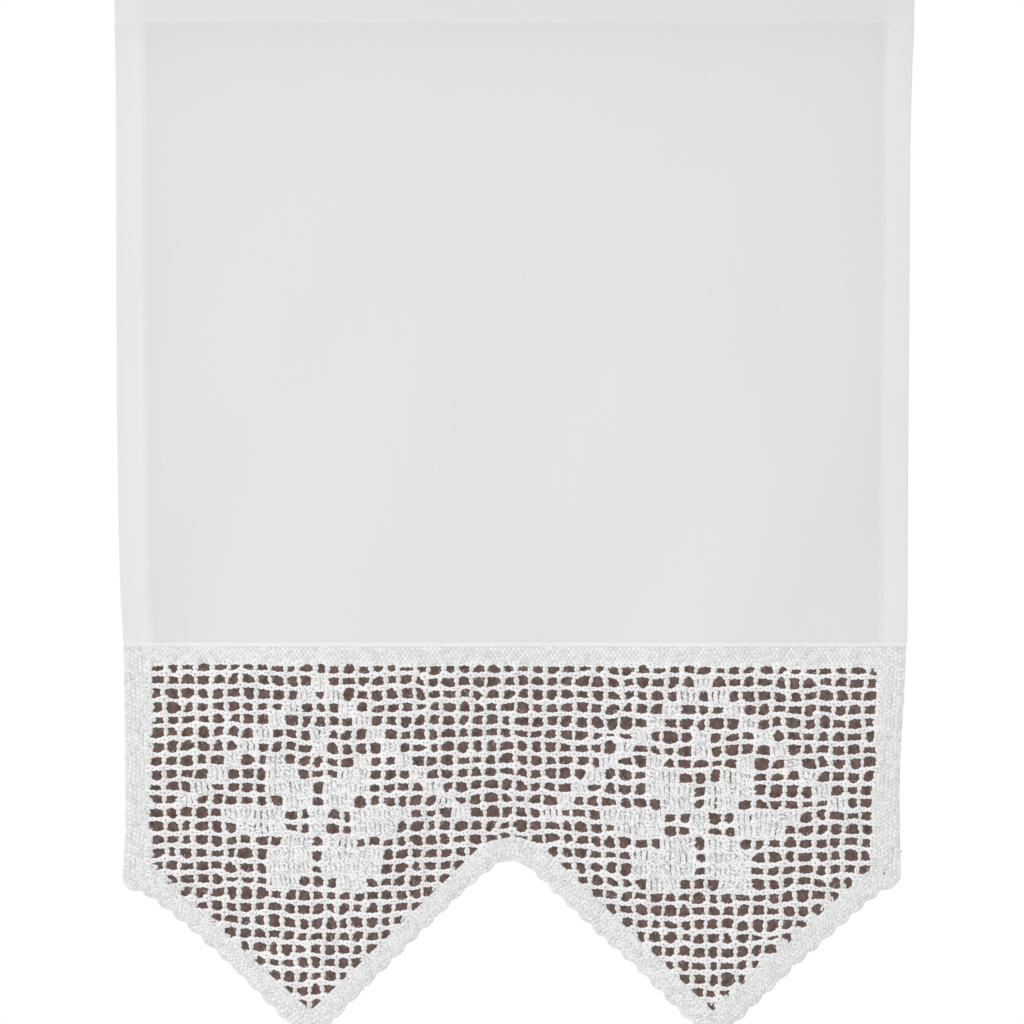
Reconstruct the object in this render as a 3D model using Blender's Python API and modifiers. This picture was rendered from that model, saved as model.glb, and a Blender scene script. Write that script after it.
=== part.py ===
"""Cafe curtain: a plain woven panel with a rod pocket at its head and a crocheted filet lace border below.

The curtain hangs in the XZ plane and is seen along +Y. The origin is on the axis of the rod that the
pocket takes, at mid width. Heights are given as the drop below that axis, so z is minus the drop.
"""

import math
import random
from collections import namedtuple

import bmesh
import bpy
from mathutils import Matrix, Vector

MM = 0.001

# The whole curtain
CURTAIN_WIDTH = 450 * MM
CLOTH = 1.0 * MM
SEAM_GAP = 0.3 * MM

# The rod pocket: a loop of the cloth over the rod, sewn shut below it
POCKET_RADIUS = 6.5 * MM
POCKET_HEIGHT = 27 * MM
POCKET_FOOT = 1.0 * MM
STITCHED_TAIL = 4.0 * MM
ARC_STEPS = 14

# The woven panel and its side hems, which are folded to the back
PANEL_DROP = 369.5 * MM
HEM_WIDTH = 18 * MM
FOLD_GAP = 0.4 * MM
FOLD_STEPS = 4
FRONT_STEPS = 26
DROP_STEPS = 12
ClothStep = namedtuple("ClothStep", "side share inset depth")

# The filet lace: columns and rows of open or filled cells
CELL_WIDTH = 8.3 * MM
CELL_HEIGHT = 7.47 * MM
NET_TOP = 380.2 * MM
NET_MIDDLE = -1.1 * MM
NET_EDGE = 1.25 * MM
NET_BAR = 3.0 * MM
NET_THICK = 1.6 * MM
EDGING_THICK = 2.2 * MM
LACE_DEPTH = 0.4 * MM
GAP_UNEVEN = 0.35 * MM
LONGEST_SIDE = 12 * MM

# How the handmade net strays from an even grid
MIDDLE_PUSH = -2.3 * MM
ROW_LEAN = -2.1 * MM
SIDE_LEAN = -5.2 * MM
POINT_SPREAD = 1.9 * MM
SIDE_STRETCH = 2.0 * MM
RIGHT_SAG = 1.3 * MM
POINT_SAG = 2.6 * MM
SIDE_SAG = 4.0 * MM

# The picots along the points
PICOT_PITCH = 11.5 * MM
PICOT_HEIGHT = 1.7 * MM
PICOT_STEPS = 4

# How the cloth waves out of its plane: nothing at the pocket, most at the lace
WAVE_DEPTH = 2.2 * MM
WAVE_LENGTH = 205 * MM
WAVE_PHASE = 0.6
WAVE_SECOND_DEPTH = 0.8 * MM
WAVE_SECOND_LENGTH = 118 * MM

# Left and right edge of the panel, as they hang: pulled in a little towards the lace
PanelEdge = namedtuple("PanelEdge", "drop left right")
PANEL_EDGES = (
    PanelEdge(20.8, -225.0, 225.0),
    PanelEdge(42, -224.4, 223.3),
    PanelEdge(65, -224.0, 222.6),
    PanelEdge(100, -223.9, 222.2),
    PanelEdge(180, -223.8, 221.6),
    PanelEdge(235, -223.7, 221.2),
    PanelEdge(290, -223.0, 221.1),
    PanelEdge(323, -222.2, 220.7),
    PanelEdge(346, -221.5, 220.5),
    PanelEdge(369.5, -219.8, 219.9),
)

# The outer edge of the lace, from the seam down the left side, along both points and up the right side.
# A run with picots has small bumps between this corner and the next.
EdgeCorner = namedtuple("EdgeCorner", "x drop picots")
LACE_EDGE = (
    EdgeCorner(-219.6, 369.8, False),
    EdgeCorner(-218.8, 413, False),
    EdgeCorner(-218.8, 475, False),
    EdgeCorner(-220.0, 501, False),
    EdgeCorner(-215.5, 508.6, False),
    EdgeCorner(-210.7, 509, True),
    EdgeCorner(-118.5, 590.8, False),
    EdgeCorner(-114.3, 593.2, False),
    EdgeCorner(-110.5, 590.8, True),
    EdgeCorner(-10.6, 494, False),
    EdgeCorner(0.0, 491.8, False),
    EdgeCorner(10.3, 497.3, True),
    EdgeCorner(107.5, 590.8, False),
    EdgeCorner(111.3, 593.5, False),
    EdgeCorner(115.5, 590.8, True),
    EdgeCorner(206.5, 509, False),
    EdgeCorner(212.0, 508.5, False),
    EdgeCorner(216.7, 503, False),
    EdgeCorner(216.0, 458, False),
    EdgeCorner(216.2, 435, False),
    EdgeCorner(218.6, 392, False),
    EdgeCorner(219.7, 369.8, False),
)

# The crochet chart of the left half, mirrored at its last column for the right half.
# A dot is an open cell, x a filled one, and - lies outside the net.
CHART = (
    ".........................",
    "...........x.............",
    "..........x.x............",
    ".........x...x...........",
    "........x.....x..........",
    ".......x...x...x.........",
    "......x....x....x........",
    ".....x..x.....x..x.......",
    "....x...xx...xx...x......",
    "...x....xxx.xxx....x.....",
    "..x......xx.xx......x....",
    ".....xxxx..x..xxxx...x...",
    "......xxx..x..xxx........",
    ".........xx.xx...........",
    "........xxx.xxxx.......--",
    "........xxx.xxxx......---",
    "-.......xx...xx......----",
    "--..................-----",
    "---................------",
    "----..............-------",
    "-----............--------",
    "------..........---------",
    "-------........----------",
    "--------......-----------",
    "---------....------------",
    "----------..-------------",
)
ROWS = len(CHART)
HALF_COLUMNS = len(CHART[0])
COLUMNS = 2 * HALF_COLUMNS - 1

# Corners of the net on the grid, left half: where the slope starts, the point's foot and the valley
GridCorner = namedtuple("GridCorner", "column row")
NET_CORNERS = (GridCorner(0, 16), GridCorner(10, 26), GridCorner(12, 26), GridCorner(24, 14))

# The net is cut at twice its pitch: these columns of the left half start a pair, the others stand alone
PAIR_STARTS = (1, 3, 5, 7, 9, 12, 14, 16, 18, 20, 22)

CLOTH_COLOUR = (0.80, 0.80, 0.80, 1.0)
YARN_COLOUR = (0.84, 0.84, 0.83, 1.0)


def clear_scene():
    for obj in list(bpy.data.objects):
        bpy.data.objects.remove(obj)


def make_material(name, colour, roughness):
    material = bpy.data.materials.new(name)
    material.use_nodes = True
    shader = material.node_tree.nodes["Principled BSDF"]
    shader.inputs["Base Color"].default_value = colour
    shader.inputs["Roughness"].default_value = roughness
    shader.inputs["Metallic"].default_value = 0.0
    return material


def wave(x, drop):
    """How far the cloth stands out of its plane at this place."""
    share = (drop - POCKET_HEIGHT) / (PANEL_DROP - POCKET_HEIGHT)
    share = min(1.0, max(0.0, share))
    grown = share * share * (3 - 2 * share)
    main = WAVE_DEPTH * math.sin(math.tau * x / WAVE_LENGTH + WAVE_PHASE)
    second = WAVE_SECOND_DEPTH * math.sin(math.tau * (x / WAVE_SECOND_LENGTH + drop / WAVE_LENGTH))
    return grown * (main + second)


def between(table, drop, column):
    """The value of this column of a table at a drop, on straight lines between its rows."""
    for above, below in zip(table, table[1:]):
        if drop <= below.drop * MM:
            break
    share = (drop / MM - above.drop) / (below.drop - above.drop)
    start, end = getattr(above, column), getattr(below, column)
    return (start + (end - start) * share) * MM


def new_object(name, mesh, material, collection):
    obj = bpy.data.objects.new(name, mesh)
    obj.data.materials.clear()
    obj.data.materials.append(material)
    collection.objects.link(obj)
    return obj


def add_outline(curve, points):
    """One closed outline of a flat curve. The curve's plane holds x and the drop."""
    spline = curve.splines.new("POLY")
    spline.points.add(len(points) - 1)
    for place, (x, y) in zip(spline.points, points):
        place.co = (x / MM, y / MM, 0, 1)
    spline.use_cyclic_u = True


def plate(name, outlines, thickness):
    """A flat plate with the first outline as its edge and the others as its gaps, as a welded mesh.

    The curve is drawn in millimetres and scaled down afterwards, because its fill is exact to 0.03 units.
    """
    curve = bpy.data.curves.new(name, "CURVE")
    curve.dimensions = "2D"
    curve.fill_mode = "BOTH"
    curve.extrude = thickness / 2 / MM
    for points in outlines:
        add_outline(curve, points)
    guide = bpy.data.objects.new(name + "_outline", curve)
    bpy.context.scene.collection.objects.link(guide)
    bpy.context.view_layer.update()
    evaluated = guide.evaluated_get(bpy.context.evaluated_depsgraph_get())
    mesh = bpy.data.meshes.new_from_object(evaluated)
    bpy.data.objects.remove(guide)
    shape = bmesh.new()
    shape.from_mesh(mesh)
    bmesh.ops.remove_doubles(shape, verts=shape.verts, dist=0.01)
    bmesh.ops.transform(shape, matrix=Matrix.Scale(MM, 4), verts=shape.verts)
    caps = {face for face in shape.faces if abs(face.normal.z) > 0.5}
    inside = [edge for edge in shape.edges if all(face in caps for face in edge.link_faces)]
    bmesh.ops.beautify_fill(shape, faces=list(caps), edges=inside)
    bmesh.ops.recalc_face_normals(shape, faces=shape.faces)
    shape.to_mesh(mesh)
    shape.free()
    return mesh


def divided(points):
    """The same closed outline with its long sides divided, so that it can follow the cloth's wave."""
    result = []
    for start, end in zip(points, points[1:] + points[:1]):
        count = max(1, math.ceil((end - start).length / LONGEST_SIDE))
        result += [start.lerp(end, step / count) for step in range(count)]
    return result


def hang_plate(mesh, depth):
    """Turns a plate drawn in x and drop upright, and lets it follow the cloth's wave."""
    for vertex in mesh.vertices:
        x, drop, through = vertex.co
        vertex.co = (x, depth + through + wave(x, drop), -drop)
    mesh.update()


def pocket_section(radius, foot, bottom):
    """A drop-shaped outline: a round top over straight sides that run in to the foot."""
    lean = math.atan2(radius - foot, bottom)
    first, last = -lean, math.pi + lean
    turns = [first + (last - first) * step / ARC_STEPS for step in range(ARC_STEPS + 1)]
    points = [(radius * math.cos(turn), -radius * math.sin(turn)) for turn in turns]
    return points + [(-foot, bottom), (foot, bottom)]


def make_heading(material, collection):
    """The rod pocket. Its section is drawn in y and drop, then drawn out along the curtain's width."""
    bottom = POCKET_HEIGHT - POCKET_RADIUS
    outer = pocket_section(POCKET_RADIUS, POCKET_FOOT, bottom)
    inner = pocket_section(POCKET_RADIUS - CLOTH, 0.1 * MM, bottom - STITCHED_TAIL)
    mesh = plate("heading", [outer, inner], CURTAIN_WIDTH)
    for vertex in mesh.vertices:
        y, drop, along = vertex.co
        vertex.co = (-along, y, -drop)
    mesh.update()
    return new_object("heading", mesh, material, collection)


def panel_section():
    """The cloth's way from the left hem's edge round the fold, across the front and into the right hem.

    On a side the step's x is its inset from that side's edge, and on the front its share of the width.
    """
    radius = (CLOTH + FOLD_GAP) / 2
    hem = [ClothStep("left", 0, HEM_WIDTH, 2 * radius), ClothStep("left", 0, HEM_WIDTH / 2, 2 * radius)]
    fold = []
    for step in range(FOLD_STEPS + 1):
        turn = math.pi / 2 - math.pi * step / FOLD_STEPS
        fold.append(ClothStep("left", 0, radius * (1 - math.cos(turn)), radius * (1 + math.sin(turn))))
    front = [ClothStep("front", step / FRONT_STEPS, 0, 0) for step in range(1, FRONT_STEPS)]
    other_side = [step._replace(side="right") for step in reversed(hem + fold)]
    return hem + fold + front + other_side


def make_panel(material, collection):
    """The woven panel: one sheet whose sides are folded to the back as hems, given its thickness."""
    section = panel_section()
    shape = bmesh.new()
    bmesh.ops.create_grid(shape, x_segments=len(section) - 1, y_segments=DROP_STEPS, size=0.5)
    top, bottom = POCKET_HEIGHT - POCKET_RADIUS + SEAM_GAP, PANEL_DROP
    for vertex in shape.verts:
        step = section[round((vertex.co.x + 0.5) * (len(section) - 1))]
        drop = top + (bottom - top) * (0.5 - vertex.co.y)
        left = between(PANEL_EDGES, drop, "left") + CLOTH / 2
        right = between(PANEL_EDGES, drop, "right") - CLOTH / 2
        if step.side == "left":
            x = left + step.inset
        elif step.side == "right":
            x = right - step.inset
        else:
            x = left + HEM_WIDTH * 0.1 + (right - left - HEM_WIDTH * 0.2) * step.share
        vertex.co = (x, step.depth + wave(x, drop), -drop)
    mesh = bpy.data.meshes.new("panel")
    shape.to_mesh(mesh)
    shape.free()
    panel = new_object("panel", mesh, material, collection)
    thick = panel.modifiers.new("cloth_thickness", "SOLIDIFY")
    thick.thickness = CLOTH
    thick.offset = 0
    thick.use_even_offset = True
    return panel


def grid_place(column, row):
    """Where a crossing of the grid lies: x and drop, with the straying of handwork.

    The side share runs from -1 at the left edge to 1 at the right, and the row share from 0 to 1.
    """
    side, down = 2 * column / COLUMNS - 1, row / ROWS
    x = NET_MIDDLE + side * COLUMNS / 2 * CELL_WIDTH + MIDDLE_PUSH * math.cos(math.pi * side)
    x += SIDE_STRETCH * side ** 5 + POINT_SPREAD * math.sin(math.tau * side) * down
    x += (ROW_LEAN + SIDE_LEAN * side ** 2) * down
    drop = NET_TOP + row * CELL_HEIGHT + RIGHT_SAG * side
    drop += (SIDE_SAG * side ** 4 - POINT_SAG * math.cos(math.tau * side)) * down
    return Vector((x, drop))


def cell(row, column):
    """The chart's sign for a cell of the whole net."""
    mirrored = min(column, COLUMNS - 1 - column)
    return CHART[row][mirrored]


def grown(points, margin):
    """The same closed outline with each side moved outwards by a margin, its corners mitred."""
    result = []
    for before, point, after in zip(points[-1:] + points[:-1], points, points[1:] + points[:1]):
        arriving, leaving = (point - before).normalized(), (after - point).normalized()
        first = Vector((-arriving.y, arriving.x))
        second = Vector((-leaving.y, leaving.x))
        result.append(point + (first + second) * margin / (1 + first.dot(second)))
    return result


def lace_outline(margin):
    """The edge of the net, grown by a margin, from the seam down the left side and back up the right."""
    corners = list(NET_CORNERS) + [
        GridCorner(COLUMNS - corner.column, corner.row) for corner in reversed(NET_CORNERS)]
    points = [grid_place(*corner) for corner in corners]
    seam = PANEL_DROP + SEAM_GAP + margin
    start = Vector((grid_place(0, 0).x, seam))
    end = Vector((grid_place(COLUMNS, 0).x, seam))
    return grown([start] + points + [end], margin)


def block_gap(rows, columns):
    """The outline of the gap over a block of up to two by two cells, or None where it stays filled.

    The outline runs round the open cells of the block. A block with two open cells that only touch at
    a corner has no gap, and one with a single filled cell has a gap with a step in it.
    """
    opened = [(r, c) for r in rows for c in columns if cell(r, c) == "."]
    block_rows = sorted({r for r, _ in opened})
    block_columns = sorted({c for _, c in opened})
    missing = [(r, c) for r in block_rows for c in block_columns if (r, c) not in opened]
    if not opened or len(missing) > 1:
        return None
    top, bottom = block_rows[0], block_rows[-1] + 1
    left, right = block_columns[0], block_columns[-1] + 1
    inset = NET_BAR / 2
    outline = []
    for column, row, way_x, way_y in (
            (left, top, 1, 1), (left, bottom, 1, -1), (right, bottom, -1, -1), (right, top, -1, 1)):
        corner = grid_place(column, row) + Vector((way_x, way_y)) * inset
        filled = (row if way_y > 0 else row - 1, column if way_x > 0 else column - 1)
        if filled not in missing:
            outline.append(corner)
            continue
        step = grid_place(column + way_x, row + way_y) + Vector((way_x, way_y)) * inset
        beside, below = Vector((step.x, corner.y)), Vector((corner.x, step.y))
        outline += [beside, step, below] if way_x == way_y else [below, step, beside]
    return outline


def column_blocks():
    """The columns of the whole net in pairs and singles, the same from both sides."""
    half, column = [], 0
    while column < HALF_COLUMNS - 1:
        width = 2 if column in PAIR_STARTS else 1
        half.append(list(range(column, column + width)))
        column += width
    other = [[COLUMNS - 1 - c for c in reversed(block)] for block in reversed(half)]
    return half + [[HALF_COLUMNS - 1]] + other


def make_filet_lace(material, collection):
    """The filet net under its close-worked top rows: a plate with gaps, uneven as in handwork."""
    uneven = random.Random(7)
    gaps = []
    for top_row in range(0, ROWS, 2):
        for columns in column_blocks():
            outline = block_gap([top_row, top_row + 1], columns)
            if outline:
                gaps.append([
                    point + Vector((uneven.uniform(-1, 1), uneven.uniform(-1, 1))) * GAP_UNEVEN
                    for point in outline
                ])
    print(len(gaps), "gaps in the lace")
    mesh = plate("filet_lace", [divided(lace_outline(NET_EDGE))] + gaps, NET_THICK)
    hang_plate(mesh, LACE_DEPTH)
    return new_object("filet_lace", mesh, material, collection)


def picot_run(start, end):
    """Points between two corners, with a row of round bumps that stand out to the right of the way."""
    way = end - start
    count = max(1, round(way.length / PICOT_PITCH))
    outward = Vector((-way.y, way.x)).normalized()
    points = []
    for step in range(1, count * PICOT_STEPS):
        share = step / (count * PICOT_STEPS)
        bump = abs(math.sin(math.pi * step / PICOT_STEPS))
        points.append(start + way * share + outward * (bump - 0.5) * PICOT_HEIGHT)
    return points


def make_edging(material, collection):
    """The border strip with picots, from the seam round the sides and points of the net."""
    corners = [Vector((corner.x * MM, corner.drop * MM)) for corner in LACE_EDGE]
    outer = []
    for index, corner in enumerate(LACE_EDGE):
        outer.append(corners[index])
        if corner.picots:
            outer += picot_run(corners[index], corners[index + 1])
    strip = outer + list(reversed(lace_outline(NET_EDGE + SEAM_GAP)))
    mesh = plate("picot_edging", [divided(strip)], EDGING_THICK)
    hang_plate(mesh, LACE_DEPTH)
    return new_object("picot_edging", mesh, material, collection)


def main():
    clear_scene()
    collection = bpy.data.collections.new("cafe_curtain")
    bpy.context.scene.collection.children.link(collection)
    cloth = make_material("white_cloth", CLOTH_COLOUR, 0.85)
    yarn = make_material("white_yarn", YARN_COLOUR, 0.9)
    make_heading(cloth, collection)
    make_panel(cloth, collection)
    make_filet_lace(yarn, collection)
    make_edging(yarn, collection)


main()
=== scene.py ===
# %% [markdown]
# # A cafe curtain with a filet crochet border
#
# A cafe curtain covers the lower half of a window. This one is a single width of fine white cotton with
# a rod pocket at its head, and a hand-crocheted border that ends in two points. The border is filet
# crochet: a net of small square cells, some of them filled, which draw a flower inside a diamond.
#
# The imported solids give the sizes. They are loaded first, and every piece below is made to lie where its
# solid lies, so that the real curtain and its simple stand-in always agree.

# %% Load the frame
import math
import random
from collections import namedtuple

import bpy
import numpy as np
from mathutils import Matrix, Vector
from mathutils.noise import noise


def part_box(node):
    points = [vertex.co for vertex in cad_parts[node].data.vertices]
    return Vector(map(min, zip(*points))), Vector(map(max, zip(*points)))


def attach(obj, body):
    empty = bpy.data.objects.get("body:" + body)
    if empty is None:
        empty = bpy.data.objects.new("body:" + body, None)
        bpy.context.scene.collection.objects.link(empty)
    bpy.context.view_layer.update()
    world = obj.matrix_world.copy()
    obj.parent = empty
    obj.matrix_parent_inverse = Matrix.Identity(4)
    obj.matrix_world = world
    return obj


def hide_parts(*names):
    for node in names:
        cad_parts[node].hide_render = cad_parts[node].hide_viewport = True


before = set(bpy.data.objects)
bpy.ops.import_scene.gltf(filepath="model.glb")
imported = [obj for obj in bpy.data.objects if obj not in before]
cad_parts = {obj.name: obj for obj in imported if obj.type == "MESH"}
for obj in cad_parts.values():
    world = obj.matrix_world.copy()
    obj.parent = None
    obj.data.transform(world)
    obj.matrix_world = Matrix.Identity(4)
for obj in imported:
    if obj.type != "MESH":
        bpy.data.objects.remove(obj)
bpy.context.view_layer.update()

MM = 0.001

# %% [markdown]
# ## How the cloth hangs
#
# Nothing that hangs is quite flat. The pocket is straight, because a rod runs through it, and below it
# the cloth waves a little out of its plane, most at the lace, which is heavier. One function gives that
# wave, and every piece is moved by it as its last step. So the pieces can be modelled flat, which is
# easy, and they still hang together. Places are given as x and as the drop below the rod's axis.

# %% The wave
POCKET_RADIUS = -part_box("heading")[0].y
POCKET_FOOT = -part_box("heading")[0].z
PANEL_FOOT = -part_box("panel")[0].z
WAVE_DEPTH, WAVE_LENGTH, WAVE_PHASE = 2.2 * MM, 205 * MM, 0.6
SECOND_DEPTH, SECOND_LENGTH = 0.8 * MM, 118 * MM


def wave(x, drop):
    """How far the cloth stands out of its plane, for numbers or for arrays."""
    start = POCKET_FOOT + POCKET_RADIUS
    share = np.clip((drop - start) / (PANEL_FOOT - start), 0, 1)
    main = WAVE_DEPTH * np.sin(math.tau * x / WAVE_LENGTH + WAVE_PHASE)
    second = SECOND_DEPTH * np.sin(math.tau * (x / SECOND_LENGTH + drop / WAVE_LENGTH))
    return share * share * (3 - 2 * share) * (main + second)


print(f"pocket foot {POCKET_FOOT / MM:.1f} mm and panel foot {PANEL_FOOT / MM:.1f} mm below the rod")

# %% [markdown]
# ## Small helpers
#
# Operators act on what is selected, and the loaded solids start out selected. So each piece begins by
# deselecting everything. Faces, edges and points are then picked in code, by their place. A finished
# piece gets its name, its material and its body in one call, so that none of them is forgotten.


def deselect():
    bpy.ops.object.select_all(action="DESELECT")


def pick(obj, test):
    """Selects the points of an object that pass a test on their place, and opens it for editing."""
    bpy.ops.object.mode_set(mode="EDIT")
    bpy.ops.mesh.select_mode(type="VERT")
    bpy.ops.mesh.select_all(action="DESELECT")
    bpy.ops.object.mode_set(mode="OBJECT")
    chosen = [bool(test(point.co)) for point in obj.data.vertices]
    obj.data.vertices.foreach_set("select", chosen)
    bpy.ops.object.mode_set(mode="EDIT")
    return sum(chosen)


def reshape(obj, move):
    """Moves every point of an object by a function that takes and gives an array of places."""
    places = np.empty(len(obj.data.vertices) * 3)
    obj.data.vertices.foreach_get("co", places)
    obj.data.vertices.foreach_set("co", move(places.reshape(-1, 3)).ravel())
    obj.data.update()


def mark(obj, name, value):
    """Stores a number on every point of an object, worked out from an array of places."""
    places = np.empty(len(obj.data.vertices) * 3)
    obj.data.vertices.foreach_get("co", places)
    obj.data.attributes.new(name, "FLOAT", "POINT").data.foreach_set("value", value(places.reshape(-1, 3)))


def soften(obj, degrees=50):
    """Shades an object smooth, but for the edges that turn more sharply than this."""
    deselect()
    obj.select_set(True)
    bpy.context.view_layer.objects.active = obj
    bpy.ops.object.shade_smooth_by_angle(angle=math.radians(degrees))


def apply_modifier(obj, kind, **settings):
    """Adds a modifier with these settings and applies it."""
    modifier = obj.modifiers.new(kind.lower(), kind)
    for name, value in settings.items():
        setattr(modifier, name, value)
    bpy.context.view_layer.objects.active = obj
    bpy.ops.object.modifier_apply(modifier=modifier.name)


def keep(obj, name, material):
    """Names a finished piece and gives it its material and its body."""
    obj.name = obj.data.name = name
    obj.data.materials.clear()
    obj.data.materials.append(material)
    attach(obj, "root")
    faces = sum(len(face.vertices) - 2 for face in obj.data.polygons)
    print(f"{name}: {faces} triangles")
    return obj


# %% [markdown]
# ## The studio
#
# The photograph looks straight at the curtain, from far enough away that nothing converges, and crops
# it at head and foot. A long lens at 2.5 m gives the same view. The light is soft and comes from
# all round, a little more from the upper left, and the ground is white. A sheet of taupe paper stands far
# behind. It is cut so that it shows only through the lace, as the dark ground does in the photograph.

# %% Camera
FRAME_WIDTH = 576.7 * MM
CAMERA_DISTANCE = 2.5
camera = bpy.data.objects.new("camera", bpy.data.cameras.new("camera"))
bpy.context.scene.collection.objects.link(camera)
bpy.context.scene.camera = camera
camera.data.sensor_width = 36
camera.data.lens = 36 * CAMERA_DISTANCE / FRAME_WIDTH
camera.location = (-1.4 * MM, -CAMERA_DISTANCE, -295.9 * MM)
camera.rotation_euler = (math.pi / 2, 0, 0)
camera.data.clip_end = 50
print(f"lens {camera.data.lens:.0f} mm")

# %% Light
GROUND_WHITE = 1.0
SKY_LIGHT = 0.80
bpy.context.scene.view_settings.view_transform = "Standard"
world = bpy.data.worlds.new("studio")
bpy.context.scene.world = world
world.use_nodes = True
nodes, links = world.node_tree.nodes, world.node_tree.links
background = nodes["Background"]
path = nodes.new("ShaderNodeLightPath")
strength = nodes.new("ShaderNodeMapRange")
strength.inputs["To Min"].default_value = SKY_LIGHT
strength.inputs["To Max"].default_value = GROUND_WHITE
background.inputs["Color"].default_value = (1.0, 1.0, 1.0, 1.0)
links.new(path.outputs["Is Camera Ray"], strength.inputs["Value"])
links.new(strength.outputs["Result"], background.inputs["Strength"])

LampPlace = namedtuple("LampPlace", "name x y z size power")
LAMPS = (
    LampPlace("key_lamp", -3.4, -3.2, 0.3, 2.0, 54.0),
    LampPlace("fill_lamp", 0.0, -2.4, -1.2, 1.4, 7.2),
)
for lamp in LAMPS:
    light = bpy.data.lights.new(lamp.name, "AREA")
    light.size = lamp.size
    light.energy = lamp.power
    holder = bpy.data.objects.new(lamp.name, light)
    bpy.context.scene.collection.objects.link(holder)
    holder.location = (lamp.x, lamp.y, lamp.z)
    aim = Vector((0, 0, -0.3)) - holder.location
    holder.rotation_euler = aim.to_track_quat("-Z", "Y").to_euler()
print(len(LAMPS), "lamps")

# %% [markdown]
# ## The net's plan
#
# Filet crochet is worked from a chart. Each sign is one cell: a dot is open, an x is filled. Only the left
# half is charted, and the right half mirrors it. Hand-worked cells are never even, so the grid is pulled
# in towards the middle and each crossing strays a little. The solids follow the same plan without the
# straying, so the net lies on them to within a stitch or so.

# %% Chart
CHART = (
    ".........................",
    "...........x.............",
    "..........x.x............",
    ".........x...x...........",
    "........x.....x..........",
    ".......x...x...x.........",
    "......x....x....x........",
    ".....x..x.....x..x.......",
    "....x...xx...xx...x......",
    "...x....xxx.xxx....x.....",
    "..x......xx.xx......x....",
    ".....xxxx..x..xxxx...x...",
    "......xxx..x..xxx........",
    ".........xx.xx...........",
    "........xxx.xxxx.......--",
    "........xxx.xxxx......---",
    "-.......xx...xx......----",
    "--..................-----",
    "---................------",
    "----..............-------",
    "-----............--------",
    "------..........---------",
    "-------........----------",
    "--------......-----------",
    "---------....------------",
    "----------..-------------",
)
ROWS, HALF = len(CHART), len(CHART[0])
COLUMNS = 2 * HALF - 1


def cell(row, column):
    """The chart's sign for a cell of the whole net, and a dash outside it."""
    if not (0 <= row < ROWS and 0 <= column < COLUMNS):
        return "-"
    return CHART[row][min(column, COLUMNS - 1 - column)]


cells = [(r, c) for r in range(ROWS) for c in range(COLUMNS) if cell(r, c) != "-"]
filled = [place for place in cells if cell(*place) == "x"]
print(len(cells), "cells,", len(filled), "filled")

# %% Grid
CELL_WIDTH, CELL_HEIGHT = 8.3 * MM, 7.47 * MM
NET_TOP, NET_MIDDLE = 380.2 * MM, -1.1 * MM
MIDDLE_PUSH, SIDE_STRETCH, POINT_SPREAD = -2.3 * MM, 2.0 * MM, 1.9 * MM
ROW_LEAN, SIDE_LEAN = -2.1 * MM, -5.2 * MM
RIGHT_SAG, POINT_SAG, SIDE_SAG = 1.3 * MM, 2.6 * MM, 4.0 * MM
STRAY_ACROSS, STRAY_DOWN, BAND_LAP = 0.7 * MM, 0.6 * MM, 1.3 * MM
LACE_DEPTH = 0.4 * MM
by_hand = random.Random(21)


def grid_place(column, row):
    """Where a crossing of the grid lies on the solids: x and drop."""
    side, down = 2 * column / COLUMNS - 1, row / ROWS
    x = NET_MIDDLE + side * COLUMNS / 2 * CELL_WIDTH + MIDDLE_PUSH * math.cos(math.pi * side)
    x += SIDE_STRETCH * side ** 5 + POINT_SPREAD * math.sin(math.tau * side) * down
    x += (ROW_LEAN + SIDE_LEAN * side ** 2) * down
    drop = NET_TOP + row * CELL_HEIGHT + RIGHT_SAG * side
    drop += (SIDE_SAG * side ** 4 - POINT_SAG * math.cos(math.tau * side)) * down
    return np.array((x, drop))


# %% [markdown]
# The plan is not the whole story. The left side of the real net hangs more upright than the plan has it,
# both sides sit a little higher or lower at their heads, and the right flower draws its cells to the left.
# These pulls are small, so they are left out of the solids and added here. Last, each crossing strays.

# %% Crossings
LEFT_START, LEFT_LEAN = -2.6 * MM, 0.32 * MM
LEFT_DROP, RIGHT_RISE = 0.9 * MM, 0.7 * MM
FLOWER_PULL, FLOWER_COLUMN, FLOWER_ROW = -1.6 * MM, 34, 9
FLOWER_COLUMNS, FLOWER_ROWS, SIDE_POWER = 7, 5, 8


def hand_place(column, row):
    """Where the hand left a crossing, before it strays."""
    side = 2 * column / COLUMNS - 1
    at_left, at_right = (min(1.0, max(0.0, way * side)) ** SIDE_POWER for way in (-1, 1))
    off_column, off_row = (column - FLOWER_COLUMN) / FLOWER_COLUMNS, (row - FLOWER_ROW) / FLOWER_ROWS
    in_flower = math.exp(-off_column ** 2 - off_row ** 2)
    across = at_left * (LEFT_START + LEFT_LEAN * row) + FLOWER_PULL * in_flower
    down = (at_left * LEFT_DROP - at_right * RIGHT_RISE) * (1 - row / ROWS)
    return grid_place(column, row) + np.array((across, down))


crossing = {
    (column, row): hand_place(column, row) + np.array(
        (by_hand.gauss(0, STRAY_ACROSS), by_hand.gauss(0, STRAY_DOWN) if row else BAND_LAP))
    for row in range(ROWS + 1) for column in range(COLUMNS + 1)
}
print("net from", np.round(grid_place(0, 0) / MM, 1), "to", np.round(grid_place(COLUMNS, ROWS) / MM, 1))
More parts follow.
